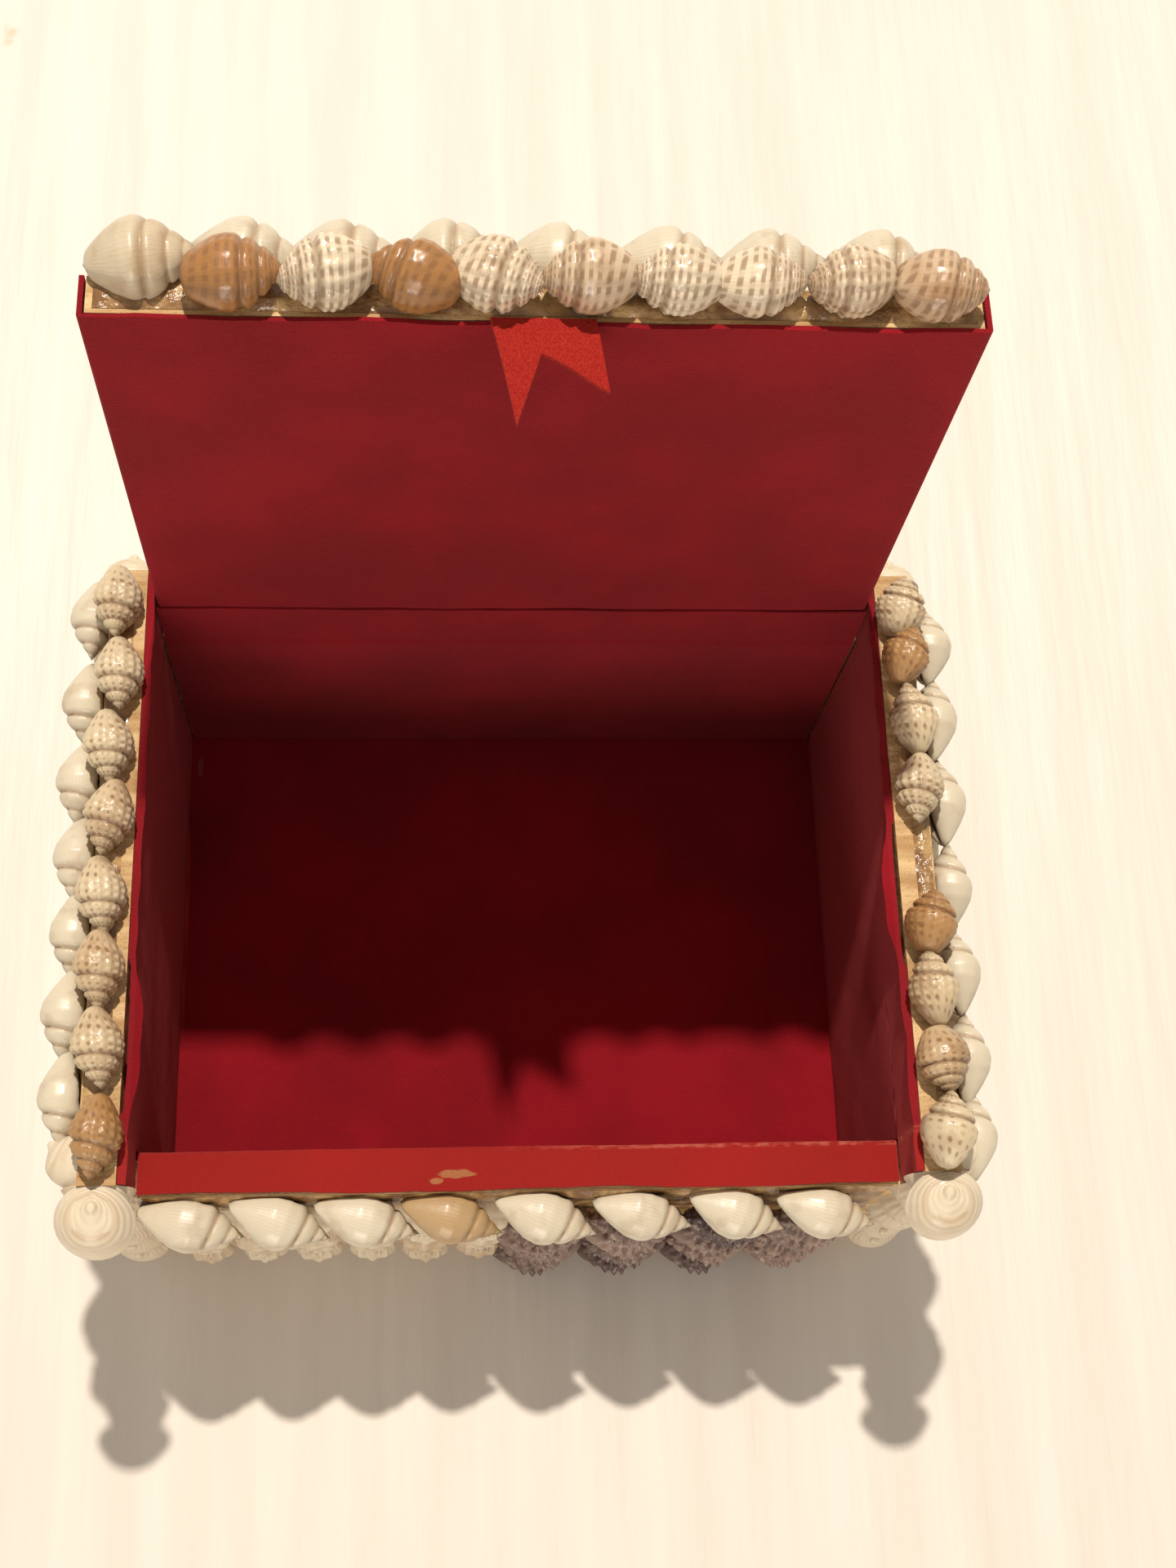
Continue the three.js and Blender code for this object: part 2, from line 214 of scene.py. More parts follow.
def add_piece(name, points, quads, triangles, finish, numbers=None, surface=None):
    """Makes the mesh object from points in millimetres and arrays of corners. Where the volume that
    the faces enclose comes out negative, every face is turned round, so all of them face out."""
    corners = np.concatenate([quads[:, [0, 1, 2]], quads[:, [0, 2, 3]], triangles])
    a, b, c = points[corners[:, 0]], points[corners[:, 1]], points[corners[:, 2]]
    if np.einsum("ij,ij->", a, np.cross(b, c)) < 0:
        quads, triangles = quads[:, ::-1], triangles[:, ::-1]
        if surface is not None:
            surface = [part[:, ::-1] for part in surface]
    mesh = bpy.data.meshes.new(name)
    mesh.vertices.add(len(points))
    mesh.vertices.foreach_set("co", (points * MM).astype(np.float32).ravel())
    mesh.loops.add(quads.size + triangles.size)
    corners = np.concatenate([quads.ravel(), triangles.ravel()])
    mesh.loops.foreach_set("vertex_index", corners.astype(np.int32))
    mesh.polygons.add(len(quads) + len(triangles))
    starts = np.concatenate([4 * np.arange(len(quads)), quads.size + 3 * np.arange(len(triangles))])
    mesh.polygons.foreach_set("loop_start", starts.astype(np.int32))
    mesh.update(calc_edges=True)
    mesh.shade_smooth()
    for key, values in (numbers or {}).items():
        mesh.attributes.new(key, "FLOAT", "POINT").data.foreach_set("value", values.astype(np.float32))
    if surface is not None:
        flat = np.concatenate([part.reshape(-1, 2) for part in surface]).astype(np.float32)
        mesh.uv_layers.new(name="surface").data.foreach_set("uv", flat.ravel())
    mesh.materials.append(finish.material)
    made = bpy.data.objects.new(name, mesh)
    bpy.context.scene.collection.objects.link(made)
    return made


def add_sheet(name, face, back, finish):
    """Closed sheet between two grids of points of the same size, its rim walls joining their edges."""
    rows, columns = face.shape[:2]
    index = np.arange(rows * columns).reshape(rows, columns)
    front = squares(index).reshape(-1, 4)
    rim = np.concatenate([index[:, 0], index[-1, 1:], index[-2::-1, -1], index[0, -2:0:-1]])
    after = np.roll(rim, -1)
    size = index.size
    walls = np.stack([after, rim, rim + size, after + size], -1)
    quads = np.concatenate([front, front[:, ::-1] + size, walls])
    points = np.concatenate([face.reshape(-1, 3), back.reshape(-1, 3)])
    made = add_piece(name, points, quads, np.zeros((0, 3), int), finish)
    made.data.set_sharp_from_angle(angle=math.radians(50))
    return made


def along_path(path, step):
    """Points spaced evenly along a path of straight runs, step apart, each corner kept."""
    runs = [np.linspace(a, b, max(2, int(np.linalg.norm(np.subtract(b, a)) / step) + 1))[:-1]
            for a, b in zip(path[:-1], path[1:])]
    return np.concatenate([*runs, [path[-1]]])


flock = Finish("red_flocked_paper", Sheen_Weight=0.28, Sheen_Roughness=0.5,
               Sheen_Tint=colour(255, 140, 140), Specular_IOR_Level=0.12)
pile = flock.noise(5200, 2)
cloud = flock.noise(38, 4)
scuff = flock.noise(900, 4, (0.5, 1, 1))
x, y, z = (axis / MM for axis in flock.parts(flock.place))
red = flock.between(cloud.rise(0.35, 0.7), colour(126, 8, 22), colour(148, 12, 28))
red = flock.between(pile.rise(0.35, 0.75) * 0.35, red, colour(150, 32, 40))
past_front = y.rise(0.5 - INNER_Y, -0.2 - INNER_Y)
ledge = z.rise(LEDGE_Z - 1.3, LEDGE_Z - 0.2) * past_front
red = flock.between(ledge * 0.6, red, colour(166, 40, 30))
# Painted sheen: the side linings' upright faces are painted a lighter pinkish red, for the pale haze that
# flock shows where it is seen edge-on.
side = abs(x).rise(INNER_X - 0.7, INNER_X - 0.1) * z.rise(FOOT_Z - 0.2, FOOT_Z + 4.4)
side = side * z.rise(SIDE_TOP_Z + 2.2, SIDE_TOP_Z - 5.3)
red = flock.between(side * 0.4, red, colour(176, 66, 66))


def spot(centre_x, centre_y, half_x, half_y):
    """1 inside an oval on the plan and 0 outside, its edge broken by the scuffs."""
    across = (x - centre_x) / half_x
    along = (y - centre_y) / half_y
    return (across * across + along * along + 1.6 * scuff).rise(1.75, 1.3)


# Rubbed places: two spots on the front ledge, one on the floor, and the right half of the ledge's edge.
worn = (spot(-12.2, -56.0, 3.9, 0.9) + spot(-16.0, -57.3, 1.5, 0.7)) * ledge * 0.85
worn = worn + spot(-68, 44, 0.7, 2.6) * z.rise(12, 9) * 0.3
ledge_edge = z.rise(LEDGE_Z - 1.5, LEDGE_Z - 0.6) * y.rise(-1.2 - INNER_Y, -0.6 - INNER_Y) * past_front
worn_edge = ledge_edge * x.rise(-10, 30) * scuff.rise(0.4, 0.62) * 0.5
paper = flock.between(worn, red, colour(172, 116, 74))
paper = flock.between(worn_edge, paper, colour(206, 120, 96))
flock.connect(Base_Color=paper, Roughness=0.88 + 0.1 * pile, height=pile + 0.35 * scuff, depth=0.00035)


def wall_lining(name, sign):
    """A path up the wall's inner face and over its top, carried across the box. The height of the
    ripple bends it out of its plane, and the cut edge over the wall's top wanders."""
    bend, slant = 0.7, 0.7 * LINING
    path = along_path([(INNER_Y, FOOT_Z), (INNER_Y, LEDGE_Z - bend),
                       (INNER_Y + 0.2 * bend, LEDGE_Z - 0.2 * bend),
                       (INNER_Y + bend, LEDGE_Z), (OUTER_Y, LEDGE_Z)], 1.4)
    across = np.linspace(-INNER_X + 0.3, INNER_X - 0.3, 110)
    run, wide = np.meshgrid(np.arange(len(path)), across, indexing="ij")
    y, z = path[run, 0], path[run, 1]
    over = np.clip((y - INNER_Y - bend) / (OUTER_Y - INNER_Y - bend), 0, 1)
    swell = 0.12 * ripple(wide, z + y, 3 + sign, 60)
    y = y + np.where(over > 0, over * (0.35 * ripple(wide, 0 * wide, 8 + sign, 45) - 0.35), swell)
    z = z + np.where(over > 0, 0.5 * swell + 0.08, 0)
    face = np.stack([wide, sign * y, z], -1)
    away = np.where(over > 0, 0.0, 1.0)
    back = face + np.stack([0 * wide, sign * LINING * away, -LINING * (1 - away)], -1)
    corner = (over == 0) & (z > LEDGE_Z - 1.2 * bend)
    inner_z = np.minimum(z - slant, LEDGE_Z - LINING)
    back[corner] = np.stack([wide, sign * (y + slant), inner_z], -1)[corner]
    return add_sheet(name, face, back, flock)


def side_lining(name, sign, peeled_from, peeled_to, lift):
    """An upright sheet with wider ends above the ledges. Along the peeled stretch its top leans in,
    by the lift times a bell over the stretch times a power of the height above where it is loose.
    The back lies on the wall's face, and half a millimetre off it where the paper has peeled."""
    step, stiff, loose, wall = LEDGE_Z + 0.3, 66.0, 70.6, INNER_X + 1.22
    tall = np.concatenate([np.linspace(FOOT_Z, step - 0.05, 34), np.linspace(step + 0.05, SIDE_TOP_Z, 22)])
    z, wide = np.meshgrid(tall, np.linspace(-1, 1, 120), indexing="ij")
    y = wide * (np.where(z > step, OUTER_Y, INNER_Y) - 0.3)
    middle, half = (peeled_from + peeled_to) / 2, abs(peeled_to - peeled_from) / 2
    bell = np.exp(-(((y - middle) / (0.62 * half)) ** 4))
    free = np.clip((z - loose) / (SIDE_TOP_Z - loose), 0, 1) ** 1.6
    top = np.clip((z - stiff) / (SIDE_TOP_Z - stiff), 0, 1)
    z = z + top * (0.3 * ripple(y, 0 * y, 21 + sign, 30) - 0.25)
    peel = bell * free
    lean = lift * peel + 0.25 * free * (1 + ripple(y, z, 5, 24))
    x = INNER_X + 0.1 * ripple(y, z, 31 + sign, 50) - lean
    face = np.stack([sign * x, y, z], -1)
    back = np.stack([sign * (wall - np.where(peel > 0.05, 0.5, 0) - 0.3 * peel), y, z], -1)
    return add_sheet(name, face, back, flock)


tuck = 0.9
wide, deep = np.meshgrid(np.linspace(-INNER_X - tuck, INNER_X + tuck, 90),
                         np.linspace(-INNER_Y - tuck, INNER_Y + tuck, 70), indexing="ij")
floor_face = np.stack([wide, deep, FLOOR_Z + 0.12 * ripple(wide, deep, 2, 70) - 0.1], -1)
floor_back = floor_face * (1, 1, 0) + (0, 0, FLOOR_Z - LINING)
linings = {
    "floor_lining": add_sheet("floor_paper", floor_face, floor_back, flock),
    "front_lining": wall_lining("front_paper", -1),
    "back_lining": wall_lining("back_paper", 1),
    "left_lining": side_lining("left_paper", -1, -16, -50, 1.5),
    "right_lining": side_lining("right_paper", 1, 10, -24, 1.7),
}
for node, made in linings.items():
    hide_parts(node)
    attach(made, "box")

# The lid's paper is one piece, wrapped round the board's two sides and showing red at both ends.
LID_X, LID_LENGTH, LID_BACK = 69.2, 108.0, -1.0
LID_SEAT, LID_TOP, LID_WRAP, LID_ROUND = 0.4, 8.0, 0.8, 0.5
wrap = along_path([(-LID_X, LID_TOP), (-LID_X, LID_SEAT + LID_ROUND), (LID_ROUND - LID_X, LID_SEAT),
                   (LID_X - LID_ROUND, LID_SEAT), (LID_X, LID_SEAT + LID_ROUND), (LID_X, LID_TOP)], 1.6)
run, long = np.meshgrid(np.arange(len(wrap)), np.linspace(LID_BACK, -LID_LENGTH, 80), indexing="ij")
wide, tall = wrap[run, 0], wrap[run, 1]
under = np.abs(wide) < LID_X - 0.3
swell = 0.14 * ripple(wide, long, 12, 80) + 0.1
uneven = 0.3 * (long < 8 - LID_LENGTH) * (1 + ripple(wide, 0 * wide, 6, 30))
face = np.stack([wide, long - uneven, tall + np.where(under, swell, 0)], -1)
inward = np.clip(np.abs(wide), 0, LID_X - LID_WRAP)
back = np.stack([np.sign(wide) * inward, face[..., 1], np.maximum(tall, LID_SEAT + LID_WRAP)], -1)
lid_paper = add_sheet("lid_paper", moved(face, LID_FRAME), moved(back, LID_FRAME), flock)
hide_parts("lid_lining")
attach(lid_paper, "lid")

# --- Hinge fold -----------------------------------------------------------------------------------
# There is no metal hinge: a strip of the same flocked paper, glued to the lid's face and down the back wall,
# folds along the top of the wall each time the lid is shut. Here it is shaped once, with its crease as the
# lid stands open.
STRIP_UP, STRIP_DOWN, STRIP_X, STRIP_THICK = 13.0, 30.0, 69.5, 0.35
tall, wide = np.meshgrid(np.linspace(-STRIP_DOWN, STRIP_UP, 90), np.linspace(-STRIP_X, STRIP_X, 90),
                         indexing="ij")
lean = np.tan(math.radians(OPEN_DEGREES - 90)) * np.clip(tall, 0, None)
crease = 0.35 * np.exp(-((tall / 0.9) ** 2)) + 0.25 * np.clip(tall, 0, 1.5)
proud = INNER_Y - 0.45 + lean + crease + 0.06 * ripple(wide, tall, 44, 40)
uneven = 0.3 * ripple(wide, 0 * wide, 46, 50) * np.abs(tall) / STRIP_UP
face = np.stack([wide, proud, LEDGE_Z + tall + uneven], -1)
fold = add_sheet("hinge_fold", face, face + (0, STRIP_THICK, 0), flock)
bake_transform(fold)

# --- Pull ribbon ----------------------------------------------------------------------------------
# A swallow-tailed snip of red felt, glued to the lid's front edge between the board and the shells.
# One tail is longer than the other, and both droop and curl a little.
TAB_ROOT_Z, TAB_THICK, TAB_PROUD, TAB_HANG = 1.2, 0.75, 1.15, 16.0
# One tail, the notch and the other tail: share across the tab, x at the root, x and z at the tip.
TAB_OUTLINE = np.array([(-1.0, -8.0, -4.2, -TAB_HANG), (-0.1, -0.8, -0.4, -4.8), (1.0, 8.0, 9.8, -10.8)])
share = np.concatenate([np.linspace(-1, -0.1, 26), np.linspace(-0.1, 1, 30)[1:]])
out, side = np.meshgrid(np.linspace(0, 1, 36), share, indexing="ij")
root_x, tip_x, tip_z = (np.interp(side, TAB_OUTLINE[:, 0], column) for column in TAB_OUTLINE[:, 1:].T)
across = root_x + (tip_x - root_x) * out
reach = TAB_ROOT_Z + (tip_z - TAB_ROOT_Z) * out
hang = np.clip(-reach, 0, None)
droop = 2.2 * (hang / TAB_HANG) ** 2 - 0.35 * np.sin(across * 0.55) * np.clip(hang, 0, 8) / 8
face = np.stack([across, droop - LID_LENGTH - TAB_PROUD, reach], -1)
ribbon = Finish("red_felt", Sheen_Weight=0.25, Sheen_Roughness=0.4, Sheen_Tint=colour(255, 160, 140),
                Specular_IOR_Level=0.1)
fibres = ribbon.noise(4200, 3, (1, 0.5, 1))
felt = ribbon.between(fibres.rise(0.35, 0.68), colour(146, 28, 24), colour(166, 44, 34))
ribbon.connect(Base_Color=felt, Roughness=0.85 + 0.1 * fibres, height=fibres, depth=0.0003)
tab = add_sheet("pull_ribbon", moved(face, LID_FRAME), moved(face + (0, TAB_THICK, 0), LID_FRAME), ribbon)
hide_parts("pull_tab")
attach(tab, "lid")
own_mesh(tab)

# --- Glue -----------------------------------------------------------------------------------------
# Clear amber glue, brushed on thick before the shells were pressed in. It shows as a lumpy, glossy
# skin between them, and as a streak on the right wall's top where a shell has come off.
amber = Finish("amber_glue", Roughness=0.22, Coat_Weight=0.4, Coat_Roughness=0.1)
thick = amber.noise(260, 3)
warm = amber.between(thick.rise(0.35, 0.7), colour(126, 88, 52), colour(196, 160, 108))
amber.connect(Base_Color=warm, height=amber.noise(700, 3), depth=0.0006)


def on_face(origin, along, out):
    """Matrix from a face's own frame to the box's: x along, z out of the face, y square to both."""
    along, out = Vector(along), Vector(out).normalized()
    matrix = Matrix.Identity(4)
    for column, axis in enumerate((along, out.cross(along), out, Vector(origin))):
        matrix.col[column][:3] = axis
    return matrix


def glue_film(name, body, matrix, wide, tall, thickness, seed, step=1.5):
    """A flat sheet on a face whose height is the thickness times a ripple, dying out at the rim."""
    a, b = np.meshgrid(np.linspace(-wide / 2, wide / 2, int(wide / step)),
                       np.linspace(-tall / 2, tall / 2, max(6, int(tall / step))), indexing="ij")
    rim = np.clip(np.minimum(wide / 2 - np.abs(a), tall / 2 - np.abs(b)) / 1.4, 0, 1) ** 0.5
    height = 0.12 + thickness * rim * (0.55 + 0.45 * ripple(a, b, seed, 16))
    face = np.stack([a, b, np.clip(height, 0.1, None)], -1)
    made = add_sheet(name, moved(face, matrix), moved(face * (1, 1, 0) + (0, 0, 0.02), matrix), amber)
    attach(made, body)


WALL_X, TOP_X, HALF_UP, EDGE_MIDDLE = 78.1, 75.3, 31.5, 5.0
LEFT, RIGHT, FRONT, BACK, UP = (-1, 0, 0), (1, 0, 0), (0, -1, 0), (0, 1, 0), (0, 0, 1)
FINE = 0.7
# Each film's size across and up, its thickness and its seed, and for a narrow one a finer step.
glue_film("front_glue", "box", on_face((0, -OUTER_Y, HALF_UP), RIGHT, FRONT), 138, 57, 1.2, 61)
glue_film("back_glue", "box", on_face((0, OUTER_Y, HALF_UP), LEFT, BACK), 138, 57, 0.6, 62)
glue_film("left_glue", "box", on_face((-WALL_X, 0, HALF_UP + 7), FRONT, LEFT), 114, 72, 0.7, 63)
glue_film("right_glue", "box", on_face((WALL_X, 0, HALF_UP + 7), FRONT, RIGHT), 114, 72, 0.7, 64)
left_top, right_top = ((x, 0, SIDE_TOP_Z) for x in (-TOP_X - 0.3, TOP_X + 0.9))
glue_film("left_top_glue", "box", on_face(left_top, FRONT, UP), 115, 4.4, 0.9, 65, FINE)
glue_film("right_top_glue", "box", on_face(right_top, FRONT, UP), 115, 3.2, 0.9, 66, FINE)
lid_middle = on_face((0, -54.5, LID_TOP), RIGHT, UP)
lid_edge = on_face((0, -LID_LENGTH, EDGE_MIDDLE), RIGHT, FRONT)
glue_film("lid_glue", "lid", LID_FRAME @ lid_middle, 134, 104, 0.6, 67)
glue_film("lid_edge_glue", "lid", LID_FRAME @ lid_edge, 134, 5.4, 1.2, 68, FINE)

# --- White whelks ---------------------------------------------------------------------------------
# Smooth cream sea snail shells, 17 to 21 mm long, glued down on their mouths. One row runs along the
# front wall's rim with the spires swung out, one along each side wall's rim and one on the lid.
WHORLS, GROWTH = 3, 5.0
# Outline of a whelk from its apex to its front end: share of the length and of the widest radius.
WHELK_OUTLINE = np.array([(0, 0), (0.05, 0.17), (0.14, 0.4), (0.26, 0.7), (0.38, 0.92), (0.5, 1),
                          (0.62, 0.95), (0.76, 0.74), (0.88, 0.5), (0.96, 0.3), (1, 0)])


def whelk(length, radius, ribs=0, rib_height=0.0, beads=0.0, suture=0.13, spire=0.5, mouth=-90, belly=0.75,
          seed=0, rows=66, columns=56, blunt=0.0):
    """Spiral shell lying along x, spire towards +x. Rings run from the apex to the front end with
    radii from a smoothed outline. The turn number grows with the logarithm of the distance from the
    apex, less one for each time round; each turn bulges between its sutures, and ribs and beads are
    cosines of the angle and of the turn number. A lip stands up and a hollow sinks at the mouth."""
    rng = np.random.default_rng(seed)
    knots, shares = WHELK_OUTLINE.T
    fine = np.linspace(0, 1, 401)
    outline = np.interp(fine, knots, shares ** (1 - blunt))
    spread = np.hanning(31)
    outline = np.convolve(np.pad(outline, 15, mode="edge"), spread / spread.sum(), "valid")
    outline = outline * (np.clip(fine / 0.03, 0, 1) * np.clip((1 - fine) / 0.03, 0, 1)) ** 0.5
    s, v = np.meshgrid(np.linspace(0, 1, rows) ** 0.92, np.arange(columns + 1) / columns, indexing="ij")
    turn = (WHORLS + 1) * np.log(1 + GROWTH * s / spire) / np.log(1 + GROWTH) - v
    part = turn - np.floor(turn)
    coiled = 1 - np.abs(2 * part - 1) ** 3
    body = 1 - np.clip(1 - 2.4 * (turn - WHORLS), 0, 1) ** 3
    bulge = np.where(turn < WHORLS, coiled, body)
    size = np.interp(s, fine, outline) * (1 - suture * (1 - bulge))
    fade = np.clip((0.97 - s) / 0.35, 0, 1) * np.clip(s / 0.08, 0, 1)
    angle = 2 * np.pi * v
    beading = 1 - beads + beads * np.cos(6 * np.pi * turn)
    size = size * (1 + rib_height * np.cos(ribs * angle + 1.4 * s) * fade * bulge * beading)
    from_lip = (v + 0.5) % 1 - 0.5
    open_part = np.clip((s - spire + 0.12) / 0.1, 0, 1) * np.clip((1 - s) / 0.06, 0, 1)
    lip = np.exp(-((from_lip / 0.028) ** 2)) * open_part
    hollow = np.exp(-(((from_lip - 0.075) / 0.045) ** 2)) * open_part
    size = size * (1 + 0.07 * lip - 0.34 * hollow)
    around = angle + math.radians(mouth)
    wobble = 1 + 0.03 * rng.normal() * np.cos(around + rng.uniform(0, 6))
    points = np.stack([length / 2 - s * length, radius * size * wobble * np.cos(around),
                       radius * size * wobble * np.sin(around) + belly * radius], -1)
    points[..., 2] = np.maximum(points[..., 2], -0.15)
    points[[0, -1]] = points[[0, -1]].mean(1, keepdims=True)
    # The groove number marks the sutures, where the shell's finish paints shade.
    groove = (1 - bulge) * np.clip(s / 0.05, 0, 1)
    return points[:, :-1], np.stack([v, turn], -1), np.clip(groove, 0, 1)[:, :-1], hollow[:, :-1]


def pole_to_pole(grid):
    """A closed grid's values in one list: one for each pole, and all the rings between them."""
    return np.concatenate([grid[:1, 0], grid[1:-1].reshape(-1, *grid.shape[2:]), grid[-1:, 0]])


def glue_down(name, finish, body, nodes, shells):
    """One piece of a row's shells. Each is a closed grid: rings joined by quads, and a fan of
    triangles at either end. A shell is turned on its face and swung out of it before it is moved."""
    points, quads, triangles, quad_surface, fan_surface = [], [], [], [], []
    numbers = {"tone": [], "groove": [], "hollow": []}
    start = 0
    for (grid, surface, groove, hollow), matrix, tone in shells:
        rows, columns = grid.shape[:2]
        points.append(moved(pole_to_pole(grid), matrix))
        count = len(points[-1])
        for key, values in (("tone", np.full(count, tone)), ("groove", pole_to_pole(groove)),
                            ("hollow", pole_to_pole(hollow))):
            numbers[key].append(values)
        ring = start + 1 + np.arange((rows - 2) * columns).reshape(rows - 2, columns)
        ring = np.concatenate([ring, ring[:, :1]], 1)
        quads.append(squares(ring).reshape(-1, 4))
        apex, front = np.full(columns, start), np.full(columns, start + count - 1)
        triangles += [np.stack([apex, ring[0, :-1], ring[0, 1:]], -1),
                      np.stack([front, ring[-1, 1:], ring[-1, :-1]], -1)]
        inner = surface[1:-1]
        quad_surface.append(squares(inner).reshape(-1, 4, 2))
        fan_surface += [np.stack([surface[0, :-1], inner[0, :-1], inner[0, 1:]], 1),
                        np.stack([surface[-1, :-1], inner[-1, 1:], inner[-1, :-1]], 1)]
        start += count
    made = add_piece(name, np.concatenate(points), np.concatenate(quads), np.concatenate(triangles), finish,
                     {key: np.concatenate(values) for key, values in numbers.items()},
                     [np.concatenate(quad_surface), np.concatenate(fan_surface)])
    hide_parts(*nodes)
    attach(made, body)


def seat(face, along, up=0.0, turn=0.0, swing=0.0, roll=0.0, sink=0.0):
    """Where one shell sits: its place on the face, turned on it, its spire swung out, rolled on its axis."""
    return (face @ Matrix.Translation((along, up, -sink)) @ Matrix.Rotation(math.radians(turn), 4, "Z")
            @ Matrix.Rotation(math.radians(-swing), 4, "Y") @ Matrix.Rotation(math.radians(roll), 4, "X"))


class ShellFinish(Finish):
    """Finish of a shell: pale to deep by the shell's own tone and a cloud, with painted shade in the grooves
    and painted shade inside the mouth, and faint growth lines across the turns."""

    def __init__(self, name, pale, deep, stain_and_shade, amount, gloss=0.35):
        super().__init__(name, Coat_Weight=0.25, Coat_Roughness=0.18, Subsurface_Weight=0.12,
                         Subsurface_Scale=0.002, Subsurface_Radius=(1.0, 0.7, 0.45))
        self.tone, self.groove, self.hollow = (self.attribute(key) for key in ("tone", "groove", "hollow"))
        self.cloud = self.noise(190, 4)
        self.angle, self.turn, _ = self.parts(self.node("ShaderNodeUVMap", {"uv_map": "surface"}, {}))
        depth = (self.tone + 0.5 * self.cloud - 0.25).rise(0.2, 0.95)
        base = self.between(depth, colour(*pale), colour(*deep))
        # Painted shade: the grooves are darkened towards the same colour that the cloud's stain blotches use.
        base = self.between(self.groove ** 1.3 * amount, base, colour(*stain_and_shade))
        self.base = self.between(self.cloud.rise(0.52, 0.7) * (0.3 * amount), base, colour(*stain_and_shade))
        self.growth = (self.angle * 46 + 1.5 * self.cloud).within_turn()
        self.gloss = gloss

    def close(self, base, relief, depth=0.00025):
        """Adds the painted shade inside the mouth, the relief and the polish, and links them all."""
        # Painted shade: the mouth's hollow is darkened to a deep brown.
        base = self.between(self.hollow.rise(0.25, 0.9), base, colour(92, 62, 44))
        self.connect(Base_Color=base, Roughness=self.gloss + 0.2 * self.groove + 0.12 * self.cloud,
                     height=relief, depth=depth)


white = ShellFinish("cream_shell", (208, 197, 175), (178, 148, 108), (148, 114, 78), 0.8)
white.close(white.base, 0.35 * white.growth + 0.5 * white.cloud)

rng = np.random.default_rng(7)
FRONT_TOP = on_face((0, -OUTER_Y, 55.4), RIGHT, FRONT)
front_x = (-59.6, -43.3, -27.7, -12.1, 5.5, 23.1, 41.1, 57.6)
front_tone = (0.2, 0.25, 0.15, 0.95, 0.3, 0.15, 0.2, 0.1)
glue_down("front_rim_whelks", white, "box", ["front_top_shells"], [
    (whelk(20.4 + rng.uniform(-0.5, 0.6), 5.3 + rng.uniform(-0.2, 0.25), seed=i, suture=0.2, spire=0.48,
           blunt=-0.25),
     seat(FRONT_TOP, place, -0.2, -15 + rng.uniform(-4, 4), 15 + rng.uniform(-3, 3)), tone)
    for i, (place, tone) in enumerate(zip(front_x, front_tone))])
RIM_Z = 70.0
LEFT_RIM = on_face((-WALL_X, 0, RIM_Z), FRONT, LEFT)
RIGHT_RIM = on_face((WALL_X, 0, RIM_Z), FRONT, RIGHT)
for side, face, places, turn in (
        ("left", LEFT_RIM, (50.6, 32.6, 16.5, 1.7, -13, -28.2, -43.2), 0),
        ("right", RIGHT_RIM, (46.3, 30.8, 13.2, -4.2, -20.8, -37.2, -51.5), 180)):
    glue_down(f"{side}_rim_whelks", white, "box", [f"{side}_shells_1"], [
        (whelk(18.4 + rng.uniform(-1, 1.2), 4.9 + rng.uniform(-0.2, 0.3), seed=20 + i, suture=0.2,
               blunt=-0.25),
         seat(face, -place, 0, turn + rng.uniform(-7, 7), rng.uniform(0, 7)), rng.uniform(0, 0.3))
        for i, place in enumerate(places)])
LID_FACE = LID_FRAME @ on_face((0, 0, LID_TOP), RIGHT, UP)
glue_down("lid_rim_whelks", white, "lid", ["lid_shells_1"], [
    (whelk(18.4 + rng.uniform(-0.6, 0.8), 6.0 + rng.uniform(-0.1, 0.3), seed=40 + i, suture=0.18,
           blunt=-0.15),
     seat(LID_FACE, place, -107.4, rng.uniform(-10, 6), rng.uniform(0, 5)), rng.uniform(0, 0.35))
    for i, place in enumerate((-44.5, -29.5, -13.5, 3.0, 20.0, 36.0, 53.0))])
LID_EDGE = LID_FRAME @ on_face((0, -LID_LENGTH, EDGE_MIDDLE + 0.4), RIGHT, FRONT)
glue_down("lid_corner_whelk", white, "lid", ["lid_corner_shell"], [
    (whelk(17.4, 6.4, mouth=196, seed=60, suture=0.16), seat(LID_EDGE, -59.4, 4.6, 6, 7, 0, 2.6), 0.5)])

# --- Dotted shells on the side walls' tops --------------------------------------------------------
# Small beaded snail shells, cream with rows of brown dots, laid in line along the top edges. Those
# on the left point forward; those on the right are mixed, and the fifth place is empty.
dotted = ShellFinish("dotted_shell", (206, 188, 156), (168, 128, 82), (124, 88, 56), 0.85)
rows_of_dots = (dotted.turn * 3 + 0.3 * dotted.cloud).within_turn() - 0.5
strong_row = (dotted.turn + 0.1).within_turn().rise(0.75, 0.45)
dots_in_row = (dotted.angle * 15 + 0.7 * dotted.cloud).within_turn() - 0.5
far = rows_of_dots * rows_of_dots + dots_in_row * dots_in_row * 1.3
dot = (far + 0.3 * dotted.noise(420, 3)).rise(0.3, 0.14) * dotted.cloud.rise(0.34, 0.52)
spotted = dotted.between(dot * (0.3 + 0.5 * strong_row), dotted.base, colour(124, 84, 50))
dotted.close(spotted, 0.3 * dotted.growth + 0.5 * dotted.cloud)


def dotted_whelk(seed, length=15.4, radius=4.6, **shape):
    """A beaded whelk with the dotted rows' usual ribs."""
    usual = {"ribs": 15, "rib_height": 0.06, "beads": 0.45, "suture": 0.2, "seed": seed, "columns": 75}
    return whelk(length, radius, **{**usual, **shape})


